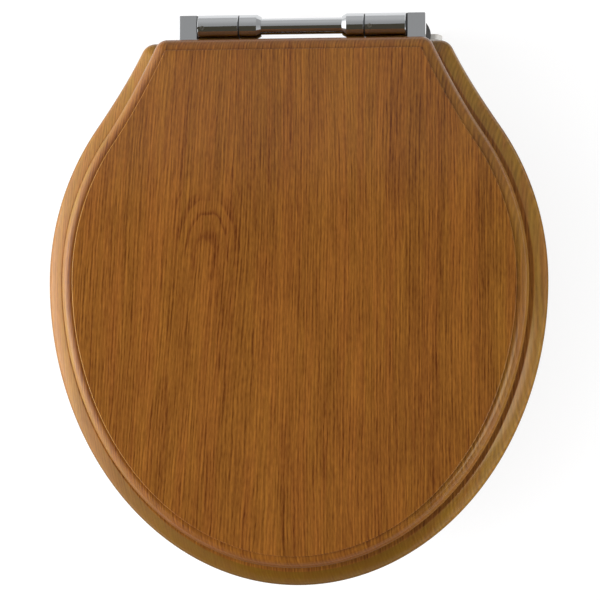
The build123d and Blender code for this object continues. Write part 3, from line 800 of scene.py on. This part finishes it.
def ring_lines(tree, grain, heart, radius):
    """Dark lines of the growth rings, broken here and there, and weak away from the heart."""
    uneven = times(tree, stripes(tree, radius, BANDS_PER_METRE, TWO_OCTAVES), RING_UNEVEN)
    phase = calc(tree, "FRACT", calc(tree, "ADD", calc(tree, "DIVIDE", radius, RING_SPACING), uneven))
    rise = ramp(tree, phase, 0.0, LINE_PEAK)
    fall = ramp(tree, phase, LINE_PEAK, LINE_END, 1.0, 0.0)
    breaks = ramp(tree, cloud(tree, grain, BREAK_SCALE, TWO_OCTAVES), *BREAK_FADE)
    past = ramp(tree, parts(tree, grain)["Y"], heart["fade_to"], heart["fade_from"], 1.0, 0.0)
    away = calc(tree, "MAXIMUM", ramp(tree, radius, *HEART_FADE), past)
    return times(tree, rise, fall, breaks, times_plus(tree, away, FAR_LINES - 1.0, 1.0))


def oak_figure(tree, grain, heart):
    """Tone and redness of oak whose grain runs along Y, round a heart that dips, from 0 to 1."""
    place = parts(tree, grain)
    across, radius = heart_distance(tree, grain, heart)
    rings = ring_lines(tree, grain, heart, radius)
    waving = joined(tree, across, place["Y"], place["Z"])
    blush = cloud(tree, waving, BLUSH_SCALE, BLUSH_OCTAVES)
    tone = times_plus(tree, rings, -RING_SHARE, MIDDLE_TONE + RING_SHARE * LINE_COVER)
    for layer in TONE_LAYERS:
        streaks = cloud(tree, waving, layer["scale"], ONE_OCTAVE, layer["share"])
        level = calc(tree, "ADD", tone, -layer["share"] / 2)
        tone = times_plus(tree, streaks, layer["share"], level)
    for rows in PORE_ROWS:
        tone = times_plus(tree, pore_lines(tree, waving, rows), rows["share"], tone)
    redness = times_plus(tree, rings, RING_RED, blush)
    for streak in heart["streaks"]:
        share = streak_share(tree, place, streak)
        tone = times_plus(tree, share, -streak["dark"], tone)
        redness = times_plus(tree, share, streak["red"], redness)
    tone = add(tree, "ShaderNodeClamp", {0: tone}).outputs[0]
    return tone, ramp(tree, redness, *RED_FADE)


print("figure: rings about", round(RING_SPACING * 1000, 1), "mm apart")

# %% [markdown]
# The lid is glued up from a wide middle board and a narrow one at each side. The middle one has the
# arches, left of the centre. The ring is glued up from staves. Each board comes from its own stretch
# of log, so its grain coordinates are shifted before the figure is worked out.

# %% Boards of the lid and the ring
LID_STREAKS = (
    {"x": 0.1076, "lean": 0.032, "y": -0.20, "reach": 0.36, "half": 0.0045, "dark": 0.18, "red": 0.0},
    {"x": 0.0345, "lean": 0.0, "y": -0.181, "reach": 0.075, "half": 0.0030, "dark": 0.16, "red": 0.3},
    {"x": -0.0120, "lean": 0.0, "y": -0.336, "reach": 0.060, "half": 0.0025, "dark": 0.26, "red": 0.1},
    {"x": -0.0070, "lean": 0.0, "y": -0.050, "reach": 0.060, "half": 0.0025, "dark": 0.22, "red": 0.1},
    {"x": 0.0670, "lean": 0.0, "y": -0.060, "reach": 0.060, "half": 0.0025, "dark": 0.22, "red": 0.0},
)
LID_HEART = {
    "x": -0.070, "lean": 0.06, "front": -0.175, "back": -0.085, "shallow": 0.010, "deep": 0.034,
    "top": lid_high.z, "fade_from": -0.155, "fade_to": -0.215, "streaks": LID_STREAKS,
}
RING_HEART = {
    "x": 0.35, "lean": 0.0, "front": -0.3, "back": -0.1, "shallow": 0.05, "deep": 0.06,
    "top": ring_high.z, "fade_from": -0.16, "fade_to": -0.26, "streaks": (),
}
SIDE_BOARD_FROM = 0.135
SIDE_BOARD_SHIFT = 0.31
STAVE_WIDTH = 0.062
STAVE_SHIFT = 0.23
STAVE_LEAN = 0.10
STAVE_TURN = 2.1


def middle_and_sides(tree, place):
    """Grain coordinates of the lid: the side boards come from elsewhere in the log."""
    axes = parts(tree, place)
    off = less(tree, axes["X"], wood_x)
    beyond = calc(tree, "GREATER_THAN", calc(tree, "ABSOLUTE", off), SIDE_BOARD_FROM)
    shift = times(tree, calc(tree, "SIGN", off), beyond, SIDE_BOARD_SHIFT)
    return joined(tree, calc(tree, "ADD", axes["X"], shift), axes["Y"], axes["Z"])


def staves(tree, place):
    """Grain coordinates of the ring: each stave has its own stretch of log and its own lean."""
    axes = parts(tree, place)
    off = less(tree, axes["X"], wood_x)
    count = calc(tree, "ROUND", calc(tree, "DIVIDE", off, STAVE_WIDTH))
    lean = times(tree, calc(tree, "SINE", times(tree, count, STAVE_TURN)), STAVE_LEAN)
    moved = times_plus(tree, count, STAVE_SHIFT, axes["X"])
    moved = times_plus(tree, axes["Y"], lean, moved)
    return joined(tree, moved, axes["Y"], axes["Z"])


print("side boards from", SIDE_BOARD_FROM, "and staves", STAVE_WIDTH, "wide")

# %% [markdown]
# The stain isn't even. Sapwood at both sides stays yellower. Paler oak along the right moulding and its
# ledge is painted light that lifts the shade of the step, and darker oak over the inner part of the
# quarter round and the ledge, most on the left, is painted shade. A paler arris of the step on the left
# is a painted highlight, and the oak is darker towards the front and front left. The "moulding"
# attribute tells the finish how far up the section a point lies, and Object coordinates tell it the side.

# %% Stain, painted shade and painted light of the lid and the ring
SAPWOOD_LEFT = (-0.16, -0.08)
SAPWOOD_RIGHT = (0.13, 0.16)
SAPWOOD_FADE = (0.60, 0.85)
RIGHT_FIELD = 0.15
# Painted light: a paler share of edge oak on the right moulding and its ledge, which lifts the shade of the
# step.
RIGHT_MOULDING_PAINTED_LIGHT = 0.4
RIGHT_EDGE = (0.05, 0.12)
CALM_TONE = 0.55
CALM_LID = 0.6
CALM_RING = 0.4
# Painted shade: darker oak over the inner quarter round and the ledge, most on the left.
STEP_SHADE = 0.42
STEP_SHADE_ELSEWHERE = 0.25
STEP_SHADE_FADE = (0.70, 0.92)
LEDGE_END = (0.940, 0.955)
# Painted highlight: paler oak on the arris of the step, on the left only.
ARRIS_HIGHLIGHT = 0.7
FIELD_START = (0.99, 1.0)
# Darker oak towards the front and front left, on the ring and on the lid's moulding.
FRONT_DARKENING = 0.7
LID_FRONT_DARKENING = 0.35
FRONT_FADE = (-0.385, -0.24)
FRONT_RIGHT = (0.06, 0.125)
LEFT_RED = 0.5
RING_TOP_FADE = (0.95, 0.99)
UNDERSIDE_FADE = (0.0, 0.03)


def stain(tree, palette, tone, red):
    """The palette's colour for a tone and a redness."""
    gold = mix(tree, tone, palette["dark"], palette["pale"])
    return mix(tree, red, gold, mix(tree, tone, palette["dark red"], palette["pale red"]))


def side_shares(tree):
    """How far out a point lies to the left, to the right and along the right edge, from 0 to 1."""
    off = less(tree, parts(tree, object_place(tree))["X"], wood_x)
    left = ramp(tree, off, *SAPWOOD_LEFT, 1.0, 0.0)
    return left, ramp(tree, off, *SAPWOOD_RIGHT), ramp(tree, off, *RIGHT_EDGE)


def front_share(tree, most):
    """How much the oak is darkened: most at the front and front left, and nought elsewhere."""
    axes = parts(tree, object_place(tree))
    to_front = ramp(tree, axes["Y"], *FRONT_FADE, most, 0.0)
    return times(tree, to_front, ramp(tree, axes["X"], *FRONT_RIGHT, 1.0, 0.0))


def calmer(tree, tone, share):
    """The tone with less contrast, where the machined edge was sanded finer than the face."""
    away = less(tree, CALM_TONE, tone)
    return times_plus(tree, away, share, tone)


def along_moulding(tree):
    """How far up the section a point lies, from 0 on the underside to 1 on the top."""
    return add(tree, "ShaderNodeAttribute", attribute_name="moulding").outputs["Fac"]


def lid_colour(tree, tone, red):
    """Face oak, yellower at both sides, painted light on the right moulding, painted shade in the step, a
    painted highlight on its left arris, and darker towards the front.
    """
    along = along_moulding(tree)
    left, right, right_edge = side_shares(tree)
    above = ramp(tree, along, *UNDERSIDE_FADE)
    outer = times(tree, above, ramp(tree, along, *SAPWOOD_FADE, 1.0, 0.0))
    tone = calmer(tree, tone, times(tree, outer, CALM_LID))
    below_field = ramp(tree, along, *FIELD_START, 1.0, 0.0)
    # Painted light: paler oak on the right moulding and its ledge, added below to the yellower oak of both
    # sides.
    right_moulding_painted_light = times(tree, above, below_field, right_edge, RIGHT_MOULDING_PAINTED_LIGHT)
    right_yellow_and_painted_light = times_plus(tree, right, RIGHT_FIELD, right_moulding_painted_light)
    sapwood_and_painted_light = times_plus(tree, outer, left, right_yellow_and_painted_light)
    colour = mix(tree, sapwood_and_painted_light, stain(tree, FACE_OAK, tone, red), stain(tree, EDGE_OAK, tone, red))
    # Painted shade: darker oak over the inner quarter round and the ledge, most on the left.
    step_shade = times(tree, ramp(tree, along, *STEP_SHADE_FADE), ramp(tree, along, *LEDGE_END, 1.0, 0.0))
    least = STEP_SHADE * STEP_SHADE_ELSEWHERE
    share = times_plus(tree, left, STEP_SHADE - least, least)
    colour = mix(tree, times(tree, step_shade, share), colour, FACE_OAK["dark red"])
    # Painted highlight: paler oak on the step's arris, on the left only.
    arris_highlight = times(tree, ramp(tree, along, *LEDGE_END), below_field, left, ARRIS_HIGHLIGHT)
    colour = mix(tree, arris_highlight, colour, EDGE_OAK["pale"])
    # Darker towards the front and front left.
    front_darkening = times(tree, outer, front_share(tree, LID_FRONT_DARKENING))
    return mix(tree, front_darkening, colour, FACE_OAK["dark red"])


def ring_colour(tree, tone, red):
    """The ring's edge is yellower than its top, and darker towards the front and front left."""
    along = along_moulding(tree)
    left = side_shares(tree)[0]
    redder = calc(tree, "MINIMUM", times_plus(tree, left, LEFT_RED, red), 1.0)
    edge = stain(tree, EDGE_OAK, calmer(tree, tone, CALM_RING), redder)
    # Darker towards the front and front left.
    edge = mix(tree, front_share(tree, FRONT_DARKENING), edge, EDGE_OAK["dark"])
    underside = ramp(tree, along, *UNDERSIDE_FADE, 1.0, 0.0)
    flat = calc(tree, "ADD", ramp(tree, along, *RING_TOP_FADE), underside)
    return mix(tree, flat, edge, stain(tree, FACE_OAK, tone, red))


# Prints the strength of the step's painted shade and of the darkening at the front.
print("painted shade in the step up to", STEP_SHADE, "and darkening at the front up to", FRONT_DARKENING)

# %% [markdown]
# A satin lacquer lies over the stain: a clear coat on the shader, with a faint relief where the lacquer
# sinks into the pores. Between the pores the wood under the coat is a little smoother.

# %% Oak finishes
OAK_ROUGHNESS = 0.55
PALE_SMOOTHER = 0.15
OAK_SPECULAR = 0.04
LACQUER = 0.9
LACQUER_ROUGHNESS = 0.2
GRAIN_DEPTH = 0.00003


def oak_finish(name, boards, heart, colouring):
    """Stained oak under satin lacquer, on boards laid out by a function."""
    material, tree = new_material(name)
    tone, red = oak_figure(tree, boards(tree, object_place(tree)), heart)
    relief = add(tree, "ShaderNodeBump", {"Height": tone, "Distance": GRAIN_DEPTH}).outputs[0]
    inputs = {
        "Base Color": colouring(tree, tone, red),
        "Roughness": times_plus(tree, tone, -PALE_SMOOTHER, OAK_ROUGHNESS),
        "Specular IOR Level": OAK_SPECULAR,
        "Coat Weight": LACQUER,
        "Coat Roughness": LACQUER_ROUGHNESS,
        "Normal": relief,
        "Coat Normal": relief,
    }
    feed(tree, tree.nodes["Principled BSDF"], inputs)
    return material


lid_oak = oak_finish("lid oak", middle_and_sides, LID_HEART, lid_colour)
ring_oak = oak_finish("ring oak", staves, RING_HEART, ring_colour)
print("finishes:", lid_oak.name, "and", ring_oak.name)

# %% [markdown]
# Now outline, section and finish come together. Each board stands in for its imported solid, moves with
# the same body and keeps its size, which the printed spans show.

# %% Make the lid and the ring
place = (wood_x, widest_y)
lid_board = grow(
    "lid_panel_oak",
    board_tree,
    outline=curve_from("lid outline", lid_outline, True, place),
    section=section_from("lid section", lid_edge),
    bottom=lid_low.z,
    top=lid_high.z,
    finish=lid_oak,
)
ring_board = grow(
    "seat_ring_oak",
    board_tree,
    outline=curve_from("ring outline", ring_outline, True, place),
    section=section_from("ring section", ring_edge),
    hole=curve_from("hole outline", hole_outline, True, place),
    hole_section=section_from("hole section", hole_edge),
    bottom=ring_low.z,
    top=ring_high.z,
    finish=ring_oak,
)
for board, body, node in ((lid_board, "lid", "lid_panel"), (ring_board, "seat", "seat_ring")):
    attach(board, body)
    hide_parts(node)
    print(board.name, "spans", [round(length, 4) for length in board.dimensions])

# %% [markdown]
# ## Chrome
#
# The hinge is cast, polished and plated. Chrome plate is a smooth mirror, a little blue, and what one
# sees is the room. Only a very faint clouding of its gloss tells it from a perfect mirror.

# %% Chrome finish
CHROME = paint(205, 207, 209)
CHROME_ROUGHNESS = 0.05
CHROME_CLOUDING = 0.05
CHROME_OCTAVES = 4.0
CHROME_CLOUDS = (140.0, 140.0, 140.0)


def chrome_finish():
    """Polished chrome plate with faint clouds in its gloss."""
    material, tree = new_material("chrome plate")
    clouds = cloud(tree, object_place(tree), CHROME_CLOUDS, CHROME_OCTAVES)
    gloss = times_plus(tree, clouds, CHROME_CLOUDING, CHROME_ROUGHNESS)
    inputs = {"Base Color": CHROME, "Metallic": 1.0, "Roughness": gloss}
    feed(tree, tree.nodes["Principled BSDF"], inputs)
    return material


def dress(names, material):
    """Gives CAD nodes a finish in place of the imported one."""
    for name in names:
        for slot in nodes[name].material_slots:
            slot.material = material


SIDES = ("left", "right")


def pair(*pieces):
    """The left and right node of each piece."""
    return [f"{piece}_{side}" for piece in pieces for side in SIDES]


chromed = pair("pillar", "lid_arm", "seat_arm") + ["tie_bar"]
dress(chromed, chrome_finish())
print("chromed:", len(chromed), "pieces")

# %% [markdown]
# ## Fixings and rubber
#
# Under the seat are zinc-plated studs and washers, plated screws, black rubber, black nylon washers
# and white plastic wing nuts. They are plain materials, but none is quite even: plating is mottled,
# rubber is dull with a fine grain, and moulded plastic has a slight skin texture.

# %% Metal and plastic finishes
PATCH_OCTAVES = 3.0
PATCH_FADE = (0.35, 0.65)
GLOSS_FADE = (0.3, 0.7)
GRAIN_OCTAVES = 2.0
PLAIN_FINISHES = {
    "zinc plate": {
        "colours": (paint(196, 196, 193), paint(189, 184, 170)),
        "metal": 1.0, "roughness": (0.24, 0.36), "patch": 420.0, "grain": 3000.0, "grain_depth": 0.000004,
    },
    "screw steel": {
        "colours": (paint(188, 186, 180), paint(160, 158, 152)),
        "metal": 1.0, "roughness": (0.26, 0.4), "patch": 700.0, "grain": 4000.0, "grain_depth": 0.000004,
    },
    "black rubber": {
        "colours": (paint(58, 56, 55), paint(72, 70, 68)),
        "metal": 0.0, "roughness": (0.62, 0.8), "patch": 260.0, "grain": 2400.0, "grain_depth": 0.00002,
    },
    "white plastic": {
        "colours": (paint(216, 214, 209), paint(203, 200, 192)),
        "metal": 0.0, "roughness": (0.38, 0.5), "patch": 180.0, "grain": 2600.0, "grain_depth": 0.000012,
    },
    "damper plastic": {
        "colours": (paint(61, 61, 64), paint(70, 70, 73)),
        "metal": 0.0, "roughness": (0.42, 0.55), "patch": 300.0, "grain": 2600.0, "grain_depth": 0.000012,
    },
    "black nylon": {
        "colours": (paint(46, 46, 46), paint(56, 56, 57)),
        "metal": 0.0, "roughness": (0.35, 0.5), "patch": 300.0, "grain": 2600.0, "grain_depth": 0.00001,
    },
}


def mottled_finish(name, colours, metal, roughness, patch, grain, grain_depth):
    """Two close colours in patches, with an uneven gloss and a fine grain."""
    material, tree = new_material(name)
    place = object_place(tree)
    patches = cloud(tree, place, (patch,) * 3, PATCH_OCTAVES)
    fine = cloud(tree, place, (grain,) * 3, GRAIN_OCTAVES)
    inputs = {
        "Base Color": mix(tree, ramp(tree, patches, *PATCH_FADE), *colours),
        "Roughness": ramp(tree, patches, *GLOSS_FADE, *roughness),
        "Metallic": metal,
        "Normal": add(tree, "ShaderNodeBump", {"Height": fine, "Distance": grain_depth}).outputs[0],
    }
    feed(tree, tree.nodes["Principled BSDF"], inputs)
    return material


finishes = {name: mottled_finish(name, **settings) for name, settings in PLAIN_FINISHES.items()}
print("plain finishes:", ", ".join(finishes))

# %% Dress the CAD pieces
CORNERS = [f"{end}_{side}" for end in ("front", "rear") for side in SIDES]
SCREWS = ["lid_arm_screws", "seat_arm_screws", "lid_buffer_screws", "seat_buffer_screws"]
BUFFERS = [f"{piece}_{corner}" for piece in ("seat_buffer", "lid_buffer") for corner in CORNERS]

dress(pair("pivot_pin", "plate_washer"), finishes["zinc plate"])
dress(pair("grub_screw") + SCREWS, finishes["screw steel"])
dress(pair("foot_gasket", "cone_washer") + BUFFERS, finishes["black rubber"])
dress(pair("wing_nut"), finishes["white plastic"])
dress(pair("damper_body", "damper_rotor"), finishes["damper plastic"])
dress(pair("lid_washer", "seat_washer"), finishes["black nylon"])
print("dressed", sum(bool(node.material_slots) for node in nodes.values()), "of", len(nodes), "CAD nodes")

# %% [markdown]
# ## Threaded studs
#
# A stud is a plain shank with a thread rolled on its lower part. The thread is a true helix: the
# radius at any point depends on its height less its share of a turn. That is a rule, so a tree bends
# a fine grid into a tube and lets the radius follow the rule. The thread runs out softly below the
# shank, and the end is chamfered so that a nut can start.

# %% A tree that makes a threaded stud
STUD_SIZES = (
    "Middle X", "Middle Y", "Top", "Shoulder", "Thread From", "Bottom", "Spigot Radius", "Shank Radius",
    "Thread Radius", "Thread Depth", "Pitch", "Point",
)
STUD_INPUTS = {**dict.fromkeys(STUD_SIZES, "NodeSocketFloat"), "Finish": "NodeSocketMaterial"}
STUD_SEGMENTS = 40
STUD_ROWS = 470
STUD_WELD = 0.000002
THREAD_FLANK = (0.1, 0.9)
RUN_OUT_TURNS = 1.5


def stud_radius(tree, given, height, turn):
    """The stud's radius at a height and a share of a turn."""
    below_shoulder = calc(tree, "LESS_THAN", height, given["Shoulder"])
    wider = less(tree, given["Shank Radius"], given["Spigot Radius"])
    plain = times_plus(tree, below_shoulder, wider, given["Spigot Radius"])
    threaded = calc(tree, "LESS_THAN", height, given["Thread From"])
    narrower = less(tree, given["Thread Radius"], given["Shank Radius"])
    plain = times_plus(tree, threaded, narrower, plain)
    phase = calc(tree, "FRACT", less(tree, calc(tree, "DIVIDE", height, given["Pitch"]), turn))
    flank = calc(tree, "ABSOLUTE", times_plus(tree, phase, 2.0, -1.0))
    valley = less(tree, 1.0, ramp(tree, flank, *THREAD_FLANK))
    run_out = calc(tree, "DIVIDE", less(tree, given["Thread From"], height), given["Pitch"])
    cut = times(tree, valley, ramp(tree, run_out, 0.0, RUN_OUT_TURNS), given["Thread Depth"])
    chamfer = less(tree, less(tree, height, given["Bottom"]), given["Point"])
    chamfer = calc(tree, "ADD", chamfer, given["Thread Radius"])
    return calc(tree, "MINIMUM", less(tree, plain, cut), chamfer)


def threaded_stud_tree():
    """Bends a grid into a tube whose radius follows the thread, and closes both ends."""
    tree, given = new_tree("threaded stud", STUD_INPUTS)
    size = {"Size X": 1.0, "Size Y": 1.0, "Vertices X": STUD_SEGMENTS + 1, "Vertices Y": STUD_ROWS}
    grid = add(tree, "GeometryNodeMeshGrid", size).outputs["Mesh"]
    spot = parts(tree, add(tree, "GeometryNodeInputPosition").outputs[0])
    turn = calc(tree, "ADD", spot["X"], 0.5)
    length = less(tree, given["Top"], given["Bottom"])
    height = times_plus(tree, calc(tree, "ADD", spot["Y"], 0.5), length, given["Bottom"])
    radius = stud_radius(tree, given, height, turn)
    angle = times(tree, turn, 2 * math.pi)
    x = times_plus(tree, radius, calc(tree, "COSINE", angle), given["Middle X"])
    y = times_plus(tree, radius, calc(tree, "SINE", angle), given["Middle Y"])
    bent = joined(tree, x, y, height)
    tube = add(tree, "GeometryNodeSetPosition", {"Geometry": grid, "Position": bent}).outputs[0]
    seamless = add(tree, "GeometryNodeMergeByDistance", {"Geometry": tube, "Distance": STUD_WELD}).outputs[0]
    close_skin(tree, given, seamless, STUD_WELD)
    return tree


stud_tree = threaded_stud_tree()
print("tree with", len(stud_tree.nodes), "nodes")

# %% Make the studs
STUD_SHOULDER = 0.0
STUD_THREAD_FROM = -0.020
SPIGOT_RADIUS = 0.0034
THREAD_RADIUS = 0.0036
THREAD_DEPTH = 0.0006
THREAD_PITCH = 0.00125
STUD_POINT = 0.0012

for side in SIDES:
    node = f"fixing_stud_{side}"
    low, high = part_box(node)
    stud = grow(
        f"{node}_threaded",
        stud_tree,
        middle_x=(low.x + high.x) / 2,
        middle_y=(low.y + high.y) / 2,
        top=high.z,
        shoulder=STUD_SHOULDER,
        thread_from=STUD_THREAD_FROM,
        bottom=low.z,
        spigot_radius=SPIGOT_RADIUS,
        shank_radius=(high.x - low.x) / 2,
        thread_radius=THREAD_RADIUS,
        thread_depth=THREAD_DEPTH,
        pitch=THREAD_PITCH,
        point=STUD_POINT,
        finish=finishes["zinc plate"],
    )
    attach(stud, "base")
    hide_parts(node)
